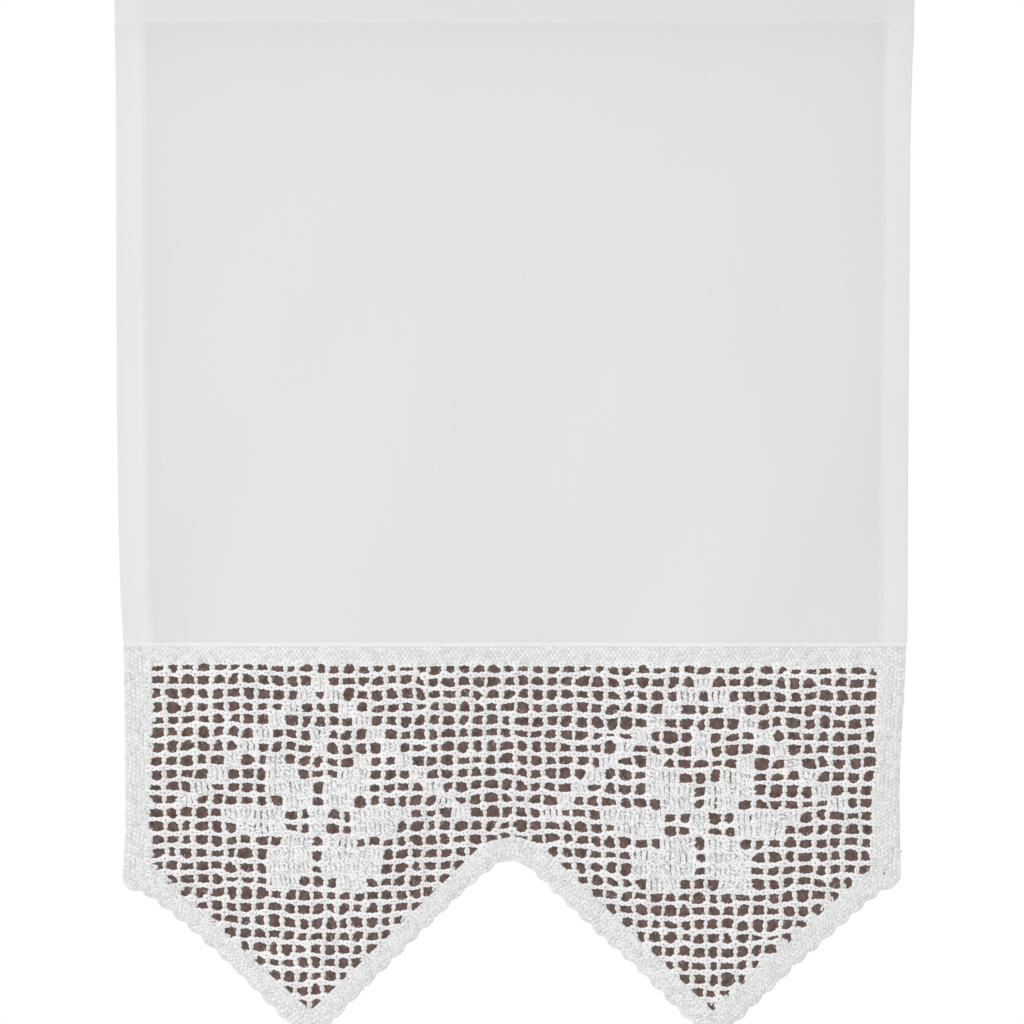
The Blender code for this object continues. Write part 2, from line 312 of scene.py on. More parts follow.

# %% [markdown]
# ## Laying stitches
#
# The border has thousands of stitches, but only a few kinds. Each kind is modelled once, one unit long
# and one unit wide. Then it is laid along every stretch of thread that needs it, stretched to that
# stretch's length and width, and all the copies become one joined mesh. Doing this with arrays of
# numbers takes a moment, where thousands of separate objects would take minutes.
# Each copy also carries a number of its own, "tone", so that the yarn's material can make one stitch a
# little lighter than the next.

# %% Lay
Stretch = namedtuple("Stretch", "x0 drop0 x1 drop1 width depth lift bow")


def stitch_arrays(stitch):
    """A stitch's points, and its faces as corner lists with their sizes."""
    points = np.empty(len(stitch.data.vertices) * 3)
    stitch.data.vertices.foreach_get("co", points)
    corners = np.empty(len(stitch.data.loops), dtype=int)
    stitch.data.loops.foreach_get("vertex_index", corners)
    sizes = np.empty(len(stitch.data.polygons), dtype=int)
    stitch.data.polygons.foreach_get("loop_total", sizes)
    return points.reshape(-1, 3), corners, sizes


def lay(name, stitch, stretches, material):
    """One mesh with a copy of the stitch along every stretch.

    A stitch stands along Z from 0 to 1 and is one wide in X, and its depth in Y is one as well. A bow
    lets it swing out sideways at its middle.
    """
    points, corners, sizes = stitch_arrays(stitch)
    table = np.array(stretches)
    count = len(table)
    start, end = table[:, 0:2], table[:, 2:4]
    way = end - start
    side = np.stack((way[:, 1], -way[:, 0]), axis=1)
    side /= np.linalg.norm(side, axis=1, keepdims=True)
    along = points[None, :, 2]
    across = points[None, :, 0] * table[:, 4, None] + table[:, 7, None] * 4 * along * (1 - along)
    flat = start[:, None, :] + way[:, None, :] * along[:, :, None] + side[:, None, :] * across[:, :, None]
    x, drop = flat[:, :, 0], flat[:, :, 1]
    y = points[None, :, 1] * table[:, 5, None] + table[:, 6, None] + wave(x, drop)
    places = np.stack((x, y, -drop), axis=2).reshape(-1, 3)

    mesh = bpy.data.meshes.new(name)
    mesh.vertices.add(len(places))
    mesh.vertices.foreach_set("co", places.ravel())
    turned = (corners[None, :] + np.arange(count)[:, None] * len(points)).ravel()
    mesh.loops.add(len(turned))
    mesh.loops.foreach_set("vertex_index", turned)
    starts = np.concatenate(([0], np.cumsum(np.tile(sizes, count))[:-1]))
    mesh.polygons.add(len(starts))
    mesh.polygons.foreach_set("loop_start", starts)
    mesh.update(calc_edges=True)
    tones = np.random.default_rng(len(stretches)).random(count)
    mesh.attributes.new("tone", "FLOAT", "POINT").data.foreach_set("value", np.repeat(tones, len(points)))
    mesh.shade_smooth()
    obj = bpy.data.objects.new(name, mesh)
    bpy.context.scene.collection.objects.link(obj)
    return keep(obj, name, material)


# %% [markdown]
# ## Materials
#
# White cotton is never one flat white. The yarn has fine fibres, which a fine noise bumps up, and each
# stitch is a shade lighter or darker than the next. The same yarn comes in two tones: the free threads of the
# net get a lighter copy, which is painted light, and the close rows and the figure's posts the greyer one.
# The woven cloth is so thin that it looks whiter where a hem lies behind it. Over that lies painted shade,
# greyer beside a hem, towards the sides, just under the pocket, over the pocket and above its seam, and
# painted light, whiter towards the foot and along the pocket's sewn ridge. Each piece of cloth therefore
# carries a number at every point for its shade of white and its painted light, which the material turns into
# its colour. Yarn and cloth both scatter light at grazing angles, which the sheen gives.

# %% Yarn material
def new_material(name, roughness, sheen):
    material = bpy.data.materials.new(name)
    material.use_nodes = True
    shader = material.node_tree.nodes["Principled BSDF"]
    shader.inputs["Roughness"].default_value = roughness
    shader.inputs["Sheen Weight"].default_value = sheen
    shader.inputs["Sheen Roughness"].default_value = 0.5
    shader.inputs["Specular IOR Level"].default_value = 0.2
    return material


def add_node(material, kind, **values):
    """A node whose properties or sockets are set by name."""
    node = material.node_tree.nodes.new(kind)
    for name, value in values.items():
        socket = node.inputs.get(name.replace("_", " "))
        if socket is not None:
            socket.default_value = value
        else:
            setattr(node, name, value)
    return node


def yarn_material(name, dark, light):
    """Cotton yarn between two colours, with fibres that run every way and a tone for each stitch."""
    material = new_material(name, 0.9, 0.25)
    tree = material.node_tree
    shader = tree.nodes["Principled BSDF"]
    where = add_node(material, "ShaderNodeTexCoord")
    tone = add_node(material, "ShaderNodeAttribute", attribute_name="tone")
    patches = add_node(material, "ShaderNodeTexNoise", Scale=900.0, Detail=3.0, Roughness=0.6)
    fibres = add_node(material, "ShaderNodeTexNoise", Scale=3800.0, Detail=2.0, Roughness=0.7)
    both = add_node(material, "ShaderNodeMath", operation="MULTIPLY_ADD")
    both.inputs[1].default_value = 0.45
    ramp = add_node(material, "ShaderNodeValToRGB")
    ramp.color_ramp.elements[0].position, ramp.color_ramp.elements[1].position = 0.25, 0.85
    ramp.color_ramp.elements[0].color, ramp.color_ramp.elements[1].color = dark, light
    bump = add_node(material, "ShaderNodeBump", Strength=0.5, Distance=0.12 * MM)
    tree.links.new(where.outputs["Object"], patches.inputs["Vector"])
    tree.links.new(where.outputs["Object"], fibres.inputs["Vector"])
    tree.links.new(tone.outputs["Fac"], both.inputs[0])
    tree.links.new(patches.outputs["Fac"], both.inputs[2])
    tree.links.new(both.outputs["Value"], ramp.inputs["Fac"])
    tree.links.new(ramp.outputs["Color"], shader.inputs["Base Color"])
    tree.links.new(fibres.outputs["Fac"], bump.inputs["Height"])
    tree.links.new(bump.outputs["Normal"], shader.inputs["Normal"])
    return material


# One yarn in two tones: the lighter copy, laid on the free threads of the net, is painted light.
white_yarn = yarn_material("white_crochet_yarn", (0.675, 0.68, 0.68, 1), (0.895, 0.905, 0.90, 1))
net_yarn_painted_lighter = yarn_material("white_net_yarn", (0.82, 0.825, 0.825, 1), (0.965, 0.97, 0.965, 1))
sewing_thread = yarn_material("sewing_thread", (0.80, 0.80, 0.80, 1), (0.92, 0.92, 0.92, 1))
print("yarn and thread")

# %% Woven cloth material
WEAVE_SCALE = 370.0


def cloth_material(name, greyest, whitest):
    """Plain weave: threads across and down, uneven in thickness, in the white and painted light of its
    points.
    """
    material = new_material(name, 0.85, 0.15)
    tree = material.node_tree
    shader = tree.nodes["Principled BSDF"]
    where = add_node(material, "ShaderNodeTexCoord")
    threads = []
    for direction, slubs in (("X", (900, 900, 14)), ("Z", (14, 900, 900))):
        drawn_out = add_node(material, "ShaderNodeMapping", Scale=slubs)
        uneven = add_node(material, "ShaderNodeTexNoise", Scale=1.0, Detail=3.0, Roughness=0.6)
        band = add_node(material, "ShaderNodeTexWave", Scale=WEAVE_SCALE, Distortion=1.5,
                        bands_direction=direction, wave_profile="SIN")
        thread = add_node(material, "ShaderNodeMath", operation="MULTIPLY")
        tree.links.new(where.outputs["Object"], drawn_out.inputs["Vector"])
        tree.links.new(drawn_out.outputs["Vector"], uneven.inputs["Vector"])
        tree.links.new(where.outputs["Object"], band.inputs["Vector"])
        tree.links.new(band.outputs["Fac"], thread.inputs[0])
        tree.links.new(uneven.outputs["Fac"], thread.inputs[1])
        threads.append((thread, uneven))
    weave = add_node(material, "ShaderNodeMath", operation="MAXIMUM")
    whiteness_and_painted_light = add_node(material, "ShaderNodeAttribute", attribute_name="whiteness_and_painted_light")
    white = add_node(material, "ShaderNodeMix", data_type="RGBA")
    white.inputs["A"].default_value, white.inputs["B"].default_value = greyest, whitest
    streaks = add_node(material, "ShaderNodeMapRange")
    streaks.inputs["To Min"].default_value, streaks.inputs["To Max"].default_value = 0.985, 1.015
    shaded = add_node(material, "ShaderNodeVectorMath", operation="SCALE")
    bump = add_node(material, "ShaderNodeBump", Strength=0.15, Distance=0.05 * MM)
    tree.links.new(threads[0][0].outputs["Value"], weave.inputs[0])
    tree.links.new(threads[1][0].outputs["Value"], weave.inputs[1])
    tree.links.new(whiteness_and_painted_light.outputs["Fac"], white.inputs["Factor"])
    tree.links.new(threads[0][1].outputs["Fac"], streaks.inputs["Value"])
    tree.links.new(white.outputs["Result"], shaded.inputs[0])
    tree.links.new(streaks.outputs["Result"], shaded.inputs["Scale"])
    tree.links.new(shaded.outputs["Vector"], shader.inputs["Base Color"])
    tree.links.new(weave.outputs["Value"], bump.inputs["Height"])
    tree.links.new(bump.outputs["Normal"], shader.inputs["Normal"])
    return material


PLAIN_SHARE, HEM_SHARE, FOOT_SHARE = 0.4, 0.31, 0.54
fine_cloth = cloth_material("fine_cotton_cloth", (0.679, 0.683, 0.698, 1), (0.849, 0.85, 0.845, 1))
print("cloth")

# %% [markdown]
# ## The stitches
#
# A tall crochet stitch is a short post of yarn wound round itself. Two small discs are pushed up in
# steps, and a twist turns them into two plies. The chain stitch is a loop that the next loop is pulled
# through, so a torus is drawn out and tipped, and two of them overlap. The close rows use a small V.
# Where threads cross, the yarn loops round the crossing, and a squared ring stands for that loop.

# %% The post
def push_up(sides, radius, steps, lean=0.0):
    """A thin column made from a disc that is pushed up in steps, one unit high."""
    deselect()
    bpy.ops.mesh.primitive_circle_add(vertices=sides, radius=radius, fill_type="NGON")
    column = bpy.context.object
    bpy.ops.object.mode_set(mode="EDIT")
    bpy.ops.mesh.select_all(action="SELECT")
    for _ in range(steps):
        bpy.ops.mesh.extrude_region_move(TRANSFORM_OT_translate={"value": (lean / steps, 0, 1 / steps)})
    bpy.ops.mesh.select_all(action="SELECT")
    bpy.ops.mesh.normals_make_consistent(inside=False)
    return column


def plied(sides, radius, plies, turn):
    """A twisted cord: plies side by side round the axis, and a twist along it."""
    cord = push_up(sides, radius, 7)
    bpy.ops.transform.translate(value=(0.5 - radius, 0, 0))
    for _ in range(plies - 1):
        bpy.ops.mesh.duplicate()
        bpy.ops.transform.rotate(value=math.tau / plies, orient_axis="Z", center_override=(0, 0, 0))
    bpy.ops.object.mode_set(mode="OBJECT")
    apply_modifier(cord, "SIMPLE_DEFORM", deform_method="TWIST", deform_axis="Z", angle=math.radians(turn))
    return cord


def store(stitch, name):
    """Puts a finished stitch aside as a pattern that is copied and never shown."""
    if bpy.context.mode != "OBJECT":
        bpy.ops.object.mode_set(mode="OBJECT")
    stitch.name = name
    patterns.append(stitch)
    print(f"{name}: {len(stitch.data.polygons)} faces")
    return stitch


def flared(p):
    """Spreads both ends of a post, where it runs into the crossings."""
    spread = 1 + 0.5 * (2 * p[:, 2] - 1) ** 4
    return p * np.stack((spread, spread, np.ones(len(p))), axis=1)


patterns = []
post = plied(5, 0.3, 2, 400)
reshape(post, flared)
store(post, "post_stitch")
thick_post = store(plied(4, 0.27, 3, 110), "thick_post_stitch")

# %% The chain and the ring
deselect()
bpy.ops.mesh.primitive_torus_add(major_segments=9, minor_segments=4, major_radius=0.27, minor_radius=0.23,
                                 rotation=(math.pi / 2, 0, 0))
chain = bpy.context.object
bpy.ops.object.transform_apply(location=False, rotation=True, scale=False)
bpy.ops.object.mode_set(mode="EDIT")
bpy.ops.mesh.select_all(action="SELECT")
bpy.ops.transform.resize(value=(1.0, 1.0, 0.66))
bpy.ops.transform.rotate(value=math.radians(24), orient_axis="X", center_override=(0, 0, 0))
bpy.ops.transform.translate(value=(0, 0, 0.27))
bpy.ops.object.mode_set(mode="OBJECT")
link = chain.copy()
link.data = chain.data.copy()
bpy.context.scene.collection.objects.link(link)
reshape(link, lambda p: (p - np.array((0, 0, 0.27))) * np.array((1, 1, 1.85)) + np.array((0, 0, 0.5)))
bpy.ops.object.mode_set(mode="EDIT")
bpy.ops.mesh.duplicate()
bpy.ops.transform.translate(value=(0, 0, 0.46))
store(chain, "chain_stitch")
store(link, "chain_link")

deselect()
bpy.ops.mesh.primitive_torus_add(major_segments=10, minor_segments=4, major_radius=0.26, minor_radius=0.24,
                                 rotation=(math.pi / 2, 0, 0), location=(0, 0, 0.5))
ring = bpy.context.object
bpy.ops.object.transform_apply(location=True, rotation=True, scale=False)


def squared(p):
    """Draws a ring out towards its corners."""
    turn = np.arctan2(p[:, 2] - 0.5, p[:, 0])
    reach = 1 - 0.1 * np.cos(4 * turn)
    return np.stack((p[:, 0] * reach, p[:, 1], 0.5 + (p[:, 2] - 0.5) * reach), axis=1)


reshape(ring, squared)
store(ring, "ring")

# %% The close stitch
close = push_up(4, 0.2, 3, lean=-0.28)
bpy.ops.transform.translate(value=(0.36, 0, 0))
bpy.ops.mesh.duplicate()
bpy.ops.transform.mirror(constraint_axis=(True, False, False), center_override=(0, 0, 0))
bpy.ops.mesh.select_all(action="SELECT")
bpy.ops.mesh.normals_make_consistent(inside=False)
store(close, "close_stitch")

# %% [markdown]
# ## The net
#
# A post stands on each upright line of the grid, one cell high, and a chain of two stitches runs along
# each level line. The width of each varies, and so does its bow, as the hand pulls a stitch tight or
# leaves it loose. A filled cell has two more posts. The ring at each crossing rounds the corners of the
# holes, which in real crochet are never square.

# %% Posts and chains
POST_WIDTH, POST_DEPTH = 2.95 * MM, 1.9 * MM
CHAIN_WIDTH = 3.0 * MM
RING_WIDTH, RING_DEPTH = 4.7 * MM, 3.4 * MM
POST_BOW = 0.5 * MM


def stretch(start, end, width, depth, lift=LACE_DEPTH, bow=0.0):
    return Stretch(start[0], start[1], end[0], end[1], width, depth, lift, bow)


def uneven(value, share=0.16):
    """A value as a hand makes it: a little more or less each time."""
    return value * by_hand.uniform(1 - share, 1 + share)


def touches(row, column, sides):
    """Whether any of the cells beside a line belongs to the net."""
    return any(cell(row + down, column + across) != "-" for down, across in sides)


def bar(start, end, width, depth=POST_DEPTH):
    """A stretch of the net, a little bowed and at its own depth."""
    lift = LACE_DEPTH + by_hand.gauss(0, 0.12) * MM
    return stretch(start, end, uneven(width, 0.27), depth, lift, by_hand.gauss(0, POST_BOW))


upright = [(c, r) for r in range(ROWS) for c in range(COLUMNS + 1) if touches(r, c, ((0, -1), (0, 0)))]
level = [(c, r) for r in range(ROWS + 1) for c in range(COLUMNS) if touches(r, c, ((-1, 0), (0, 0)))]
in_figure = [(c, r) for c, r in upright if "x" in (cell(r, c - 1), cell(r, c))]
posts = [bar(crossing[c, r], crossing[c, r + 1], POST_WIDTH) for c, r in upright if (c, r) not in in_figure]
chains = [bar(crossing[c, r], crossing[c + 1, r], CHAIN_WIDTH) for c, r in level]
ends = {(c, r + k) for c, r in upright for k in (0, 1)} | {(c + k, r) for c, r in level for k in (0, 1)}
rings = []
for place in sorted(ends):
    turn, size = by_hand.gauss(0, 0.3), uneven(RING_WIDTH, 0.22)
    half = np.array((math.sin(turn), math.cos(turn))) * size / 2
    rings.append(stretch(crossing[place] - half, crossing[place] + half, uneven(size, 0.1), RING_DEPTH))

lay("net_posts", post, posts, net_yarn_painted_lighter)
lay("net_chains", chain, chains, net_yarn_painted_lighter)
lay("net_rings", ring, rings, net_yarn_painted_lighter)

# %% The figure's posts
FIGURE_WIDTH, FIGURE_EDGE, FIGURE_DEPTH = 3.6 * MM, 3.0 * MM, 1.3 * MM


def figure_post(top, foot, width):
    """A post of a filled cell, which the posts on both sides keep nearly straight."""
    astray = [np.array((by_hand.gauss(0, 0.2), 0)) * MM for _ in range(2)]
    lift = LACE_DEPTH + by_hand.gauss(0, 0.22) * MM
    return stretch(top + astray[0], foot + astray[1], uneven(width, 0.15), uneven(FIGURE_DEPTH, 0.3), lift)


figure = []
for column, row in in_figure:
    width = FIGURE_WIDTH if cell(row, column - 1) == cell(row, column) else FIGURE_EDGE
    figure.append(figure_post(crossing[column, row], crossing[column, row + 1], width))
for row, column in filled:
    for share in (1 / 3, 2 / 3):
        top = crossing[column, row] * (1 - share) + crossing[column + 1, row] * share
        foot = crossing[column, row + 1] * (1 - share) + crossing[column + 1, row + 1] * share
        figure.append(figure_post(top, foot, FIGURE_WIDTH))
lay("figure_posts", thick_post, figure, white_yarn)

# %% [markdown]
# Before a tall stitch is pulled through, the yarn is wound once round the hook, and this wrap stays across
# the finished post as a short slanting bar. Three bars for each post hide its straight plies in part, so
# that a filled cell looks matted and not combed. A fibre is the same column again, long and very thin.

# %% Wraps
WRAPS, WRAP_LENGTH, WRAP_WIDTH, WRAP_DEPTH = 3, 3.5 * MM, 1.6 * MM, 1.0 * MM
WRAP_SLANT, WRAP_FORWARD = 1.0, 0.45 * MM
wrap = push_up(4, 0.5, 3)
bpy.ops.object.mode_set(mode="OBJECT")
reshape(wrap, lambda p: p * np.stack((1 - 0.6 * (2 * p[:, 2] - 1) ** 4,) * 2 + (np.ones(len(p)),), axis=1))
store(wrap, "wrap_stitch")
wraps = []
for held in figure:
    for number in range(WRAPS):
        share = (number + by_hand.uniform(0.1, 0.9)) / WRAPS
        middle = np.array((held.x0, held.drop0)) * (1 - share) + np.array((held.x1, held.drop1)) * share
        turn = WRAP_SLANT * by_hand.choice((1, 1, -1)) + by_hand.gauss(0, 0.35)
        half = np.array((math.sin(turn), math.cos(turn))) * uneven(WRAP_LENGTH, 0.25) / 2
        wraps.append(stretch(middle - half, middle + half, uneven(WRAP_WIDTH, 0.3), WRAP_DEPTH,
                             LACE_DEPTH - WRAP_FORWARD, by_hand.gauss(0, 0.3) * MM))
lay("figure_wraps", wrap, wraps, net_yarn_painted_lighter)

# %% Loose fibres
FIBRES, FIBRE_LENGTH, FIBRE_WIDTH = 2200, 2.7 * MM, 0.18 * MM
fibre = push_up(3, 0.5, 3)
store(fibre, "fibre")
strands, fibres = posts + chains, []
for _ in range(FIBRES):
    strand, along, turn = by_hand.choice(strands), by_hand.random(), by_hand.uniform(0, math.tau)
    root = np.array((strand.x0, strand.drop0)) * (1 - along) + np.array((strand.x1, strand.drop1)) * along
    tip = root + np.array((math.cos(turn), math.sin(turn))) * uneven(FIBRE_LENGTH, 0.35)
    fibres.append(stretch(root, tip, FIBRE_WIDTH, FIBRE_WIDTH, LACE_DEPTH, by_hand.gauss(0, 0.5) * MM))
lay("loose_fibres", fibre, fibres, net_yarn_painted_lighter)

# %% [markdown]
# ## The close-worked rows
#
# Rows of close stitches join the net to the cloth, and others run down one side, round both points and
# up the other side. Each row is a path that keeps its own distance from the curtain's outer edge. A core
# thread lies along the row and close stitches stand on it, side by side. The outer five rows are whole,
# and the last of them lines the net's outermost holes. The two rows inside them stop where they would lie
# over the net, so they only fill the small steps between the net and its slanting edge. Along the points
# the hand worked tighter than the plan, so the outer rows are drawn up there.

# %% The outer edge
EdgeCorner = namedtuple("EdgeCorner", "x drop picots")
OUTER_EDGE = (
    EdgeCorner(-220.3, 350, False),
    EdgeCorner(-219.3, 413, False),
    EdgeCorner(-218.9, 475, False),
    EdgeCorner(-220.4, 504, False),
    EdgeCorner(-216.5, 508.8, False),
    EdgeCorner(-210.7, 509, True),
    EdgeCorner(-118.5, 590.8, False),
    EdgeCorner(-114.3, 593.2, False),
    EdgeCorner(-110.5, 590.8, True),
    EdgeCorner(-10.6, 494, False),
    EdgeCorner(0.0, 491.8, False),
    EdgeCorner(10.3, 497.3, True),
    EdgeCorner(107.5, 590.8, False),
    EdgeCorner(111.3, 593.5, False),
    EdgeCorner(115.5, 590.8, True),
    EdgeCorner(206.5, 509, False),
    EdgeCorner(212.0, 508.5, False),
    EdgeCorner(217.4, 503, False),
    EdgeCorner(216.7, 460, False),
    EdgeCorner(217.0, 435, False),
    EdgeCorner(219.1, 400, False),
    EdgeCorner(221.4, 350, False),
)
PICOT_PITCH, PICOT_HEIGHT, PICOT_STEPS = 11.5 * MM, 2.2 * MM, 10


def picot_run(start, end):
    """Points between two corners of the edge, swinging out in low round picots."""
    way = end - start
    length = np.linalg.norm(way)
    count = max(1, round(length / PICOT_PITCH)) * PICOT_STEPS
    outward = np.array((-way[1], way[0])) / length
    return [
        start + way * step / count
        + outward * (abs(math.sin(math.pi * step / PICOT_STEPS)) - 0.5) * PICOT_HEIGHT
        for step in range(1, count)]


def walk(points, pitch):
    """Even steps along an open path: places and ways."""
    points = np.array(points)
    lengths = np.linalg.norm(np.diff(points, axis=0), axis=1)
    along = np.concatenate(([0], np.cumsum(lengths)))
    steps = np.linspace(0, along[-1], max(2, round(along[-1] / pitch) + 1))
    places = np.stack([np.interp(steps, along, points[:, k]) for k in (0, 1)], axis=1)
    ways = np.gradient(places, axis=0)
    return places, ways / np.linalg.norm(ways, axis=1, keepdims=True)


edge, scalloped_edge = [], []
for corner, following in zip(OUTER_EDGE, OUTER_EDGE[1:] + OUTER_EDGE[-1:]):
    here, there = (np.array((place.x, place.drop)) * MM for place in (corner, following))
    edge.append(here)
    scalloped_edge += [here] + (picot_run(here, there) if corner.picots else [])
print(len(scalloped_edge), "points on the scalloped edge")

# %% Paths inside the edge
EDGE_STEP = 1.2 * MM


def inside(points, distance):
    """A path that keeps a distance from an edge, on the net's side, without loops at the corners."""
    places, ways = walk(points, EDGE_STEP)
    moved = places + np.stack((ways[:, 1], -ways[:, 0]), axis=1) * distance
    apart = np.linalg.norm(moved[:, None, :] - places[None, :, :], axis=2).min(axis=1)
    return moved[apart > distance - 0.2 * MM]


def grid_reading(place):
    """Column and row of a place as fractions, found by nearing it step by step."""
    column, row = COLUMNS / 2 + place[0] / CELL_WIDTH, (place[1] - NET_TOP) / CELL_HEIGHT
    for _ in range(4):
        miss = place - hand_place(column, row)
        column, row = column + miss[0] / CELL_WIDTH, row + miss[1] / CELL_HEIGHT
    return column, row


def on_net(place, slack=0.14):
    """Whether a place lies on the net and not just on its edge."""
    column, row = grid_reading(place)
    return all(
        cell(math.floor(row + down), math.floor(column + across)) != "-"
        for down in (-slack, slack) for across in (-slack, slack))


print("a row 8 mm inside the edge has", len(inside(edge, 8 * MM)), "points")

# %% Rows round the edge
SEAM = PANEL_FOOT + 1.4 * MM
ROW_PITCH, FIRST_ROW, EDGE_ROWS, WHOLE_ROWS = 2.25 * MM, 2.7 * MM, 7, 5
STITCH_PITCH, STITCH_WIDTH, STITCH_DEPTH = 2.6 * MM, 3.4 * MM, 2.4 * MM
CORD_WIDTH, CORD_DEPTH, LINING_BACK, SEAM_LAP = 3.1 * MM, 1.2 * MM, 0.9 * MM, 1.5 * MM
LIFT_STRAY, WIDTH_SHARE = 0.22, 0.22
SWING_SCALE, SWING_STEP = 120, 0.25
ROW_SWING, LINING_SWING = 1.2 * MM, 0.3 * MM
ROW_STRAY, EVEN_STRAY = 0.7, 0.35
LEAST_SLANT, MOST_SLANT, LEVEL_SLANT = 0.3, 1.1, 1.6
REACH, LEVEL_REACH = 0.72, 0.2


def tumbled(start, end, stray):
    """A close stitch between two places, shifted by about this many millimetres, and at its own depth."""
    shift = np.array((by_hand.gauss(0, stray), by_hand.gauss(0, stray))) * MM
    tilt = np.array((by_hand.gauss(0, stray), by_hand.gauss(0, stray))) * MM / 2
    lift = LACE_DEPTH + by_hand.gauss(0, LIFT_STRAY) * MM
    width = uneven(STITCH_WIDTH, WIDTH_SHARE)
    return stretch(start + shift + tilt, end + shift - tilt, width, STITCH_DEPTH, lift)


def wavered(places, across, number, amount):
    """A row's places, swung slowly across it, because no hand keeps a row quite straight."""
    spots = [Vector((x * SWING_SCALE, drop * SWING_SCALE, number * SWING_STEP)) for x, drop in places]
    swing = np.array([noise(spot) for spot in spots])
    return places + across * swing[:, None] * amount


EdgeLift = namedtuple("EdgeLift", "x height")
EDGE_LIFTS = (
    EdgeLift(-212, 0), EdgeLift(-205, 1.8), EdgeLift(-194, 3.3), EdgeLift(-180, 4.2), EdgeLift(-166, 3.7),
    EdgeLift(-150, 2.6), EdgeLift(-127, 0), EdgeLift(-108, 0.2), EdgeLift(-93, 2.1), EdgeLift(-70, 3.0),
    EdgeLift(-46, 3.3), EdgeLift(-27, 2.9), EdgeLift(-14, 0.8), EdgeLift(-2, 0), EdgeLift(50, 0.2),
    EdgeLift(70, 1.9), EdgeLift(88, 0.8), EdgeLift(121, 0), EdgeLift(155, 2.0), EdgeLift(189, 1.3),
    EdgeLift(212, 0),
)


def lifted(places, share=1.0):
    """Places at the points' edge, drawn up to where the hand left it, all the way or by a share."""
    table = np.array(EDGE_LIFTS) * MM
    heights = np.interp(places[:, 0], table[:, 0], table[:, 1]) * share
    return places - np.stack((np.zeros(len(places)), heights), axis=1)


core, rows_laid = [], []
for number in range(EDGE_ROWS):
    places, ways = walk(inside(edge, FIRST_ROW + number * ROW_PITCH), STITCH_PITCH)
    if number % 2:
        places, ways = (places[1:] + places[:-1]) / 2, ways[1:]
    inward = np.stack((ways[:, 1], -ways[:, 0]), axis=1)
    whole, lining = number < WHOLE_ROWS, number == WHOLE_ROWS - 1
    places = wavered(places, inward, number, ROW_SWING if number < WHOLE_ROWS - 1 else LINING_SWING)
    places = lifted(places, max(0.0, 1 - number / (WHOLE_ROWS - 1)))
    stays = [place[1] > SEAM - SEAM_LAP and (whole or not on_net(place)) for place in places]
    stray = ROW_STRAY if 0 < number and not lining else EVEN_STRAY
    for index, place in enumerate(places):
        if not stays[index]:
            continue
        if index + 1 < len(places) and stays[index + 1]:
            core.append(stretch(place, places[index + 1], CORD_WIDTH, CORD_DEPTH))
        level_share = abs(ways[index][0])
        slant = by_hand.uniform(LEAST_SLANT, MOST_SLANT) * (1 + LEVEL_SLANT * level_share) * MM
        reach = inward[index] * ROW_PITCH * (REACH - LEVEL_REACH * level_share) + ways[index] * slant
        middle = place - inward[index] * LINING_BACK if lining else place
        rows_laid.append(tumbled(middle - reach, middle + reach, stray))
print(len(core), "stretches of core thread and", len(rows_laid), "close stitches round the edge")

# %% The border chain
BORDER_WIDTH, BORDER_PITCH = 2.5 * MM, 2.3 * MM
border = []
places, ways = walk(inside(scalloped_edge, BORDER_WIDTH / 2 - 0.4 * MM), BORDER_PITCH)
places = lifted(places)
for place, following in zip(places, places[1:]):
    if place[1] > SEAM - 2 * MM:
        border.append(stretch(place, following, uneven(BORDER_WIDTH, 0.14), 2.0 * MM))
print(len(border), "chain stitches on the outer edge")

# %% Rows under the cloth
BAND_ROWS, BAND_START, BAND_PAST, BAND_POINTS = 6, 0.2, 1.5 * MM, 20
BAND_SLANT = 1.6
BandRow = namedtuple("BandRow", "swing height stray")
FIRST_BAND_ROW, LATER_BAND_ROW = BandRow(0.2 * MM, 0.45, 0.2), BandRow(0.8 * MM, 0.7, 0.5)
band_left, band_right = hand_place(0, 0)[0] - BAND_PAST, hand_place(COLUMNS, 0)[0] + BAND_PAST
band_core, band_rows = [], []
for number in range(BAND_ROWS):
    row = LATER_BAND_ROW if number else FIRST_BAND_ROW
    share = (number + BAND_START) / BAND_ROWS
    path = []
    for k in range(BAND_POINTS + 1):
        head = grid_place(k / BAND_POINTS * COLUMNS, 0)[1] + BAND_LAP
        x = band_left + (band_right - band_left) * k / BAND_POINTS
        path.append(np.array((x, SEAM * (1 - share) + head * share)))
    places, ways = walk(path, STITCH_PITCH)
    if number % 2:
        places, ways = (places[1:] + places[:-1]) / 2, ways[1:]
    places = wavered(places, np.stack((-ways[:, 1], ways[:, 0]), axis=1), number, row.swing)
    for place, following, way in zip(places, places[1:], ways):
        height = ROW_PITCH * row.height
        down = np.array((-way[1], way[0])) * height + way * by_hand.uniform(0.0, BAND_SLANT) * MM
        band_core.append(stretch(place, following, CORD_WIDTH, CORD_DEPTH))
        band_rows.append(tumbled(place - down, place + down, row.stray))
print(len(band_rows), "close stitches under the cloth")

# %% Lay the close rows
cord = push_up(6, 0.5, 1)
store(cord, "core_thread")
lay("edging_core", cord, core, white_yarn)
lay("edging_stitches", close, rows_laid, white_yarn)
lay("edging_border", link, border, white_yarn)
lay("band_core", cord, band_core, white_yarn)
lay("band_stitches", close, band_rows, white_yarn)

# %% [markdown]
# ## The woven panel
#
# One piece of cloth with its sides folded to the back as hems. A fine grid of faces is a good start for
# cloth, because folds and small puckers need points to bend at. The side edges are extruded back and in
# again to make the hems, and the lower edge is rolled to the front. Only then are the sides pulled in to
# the outline they have on the real curtain, and the cloth gets its thickness from Solidify.

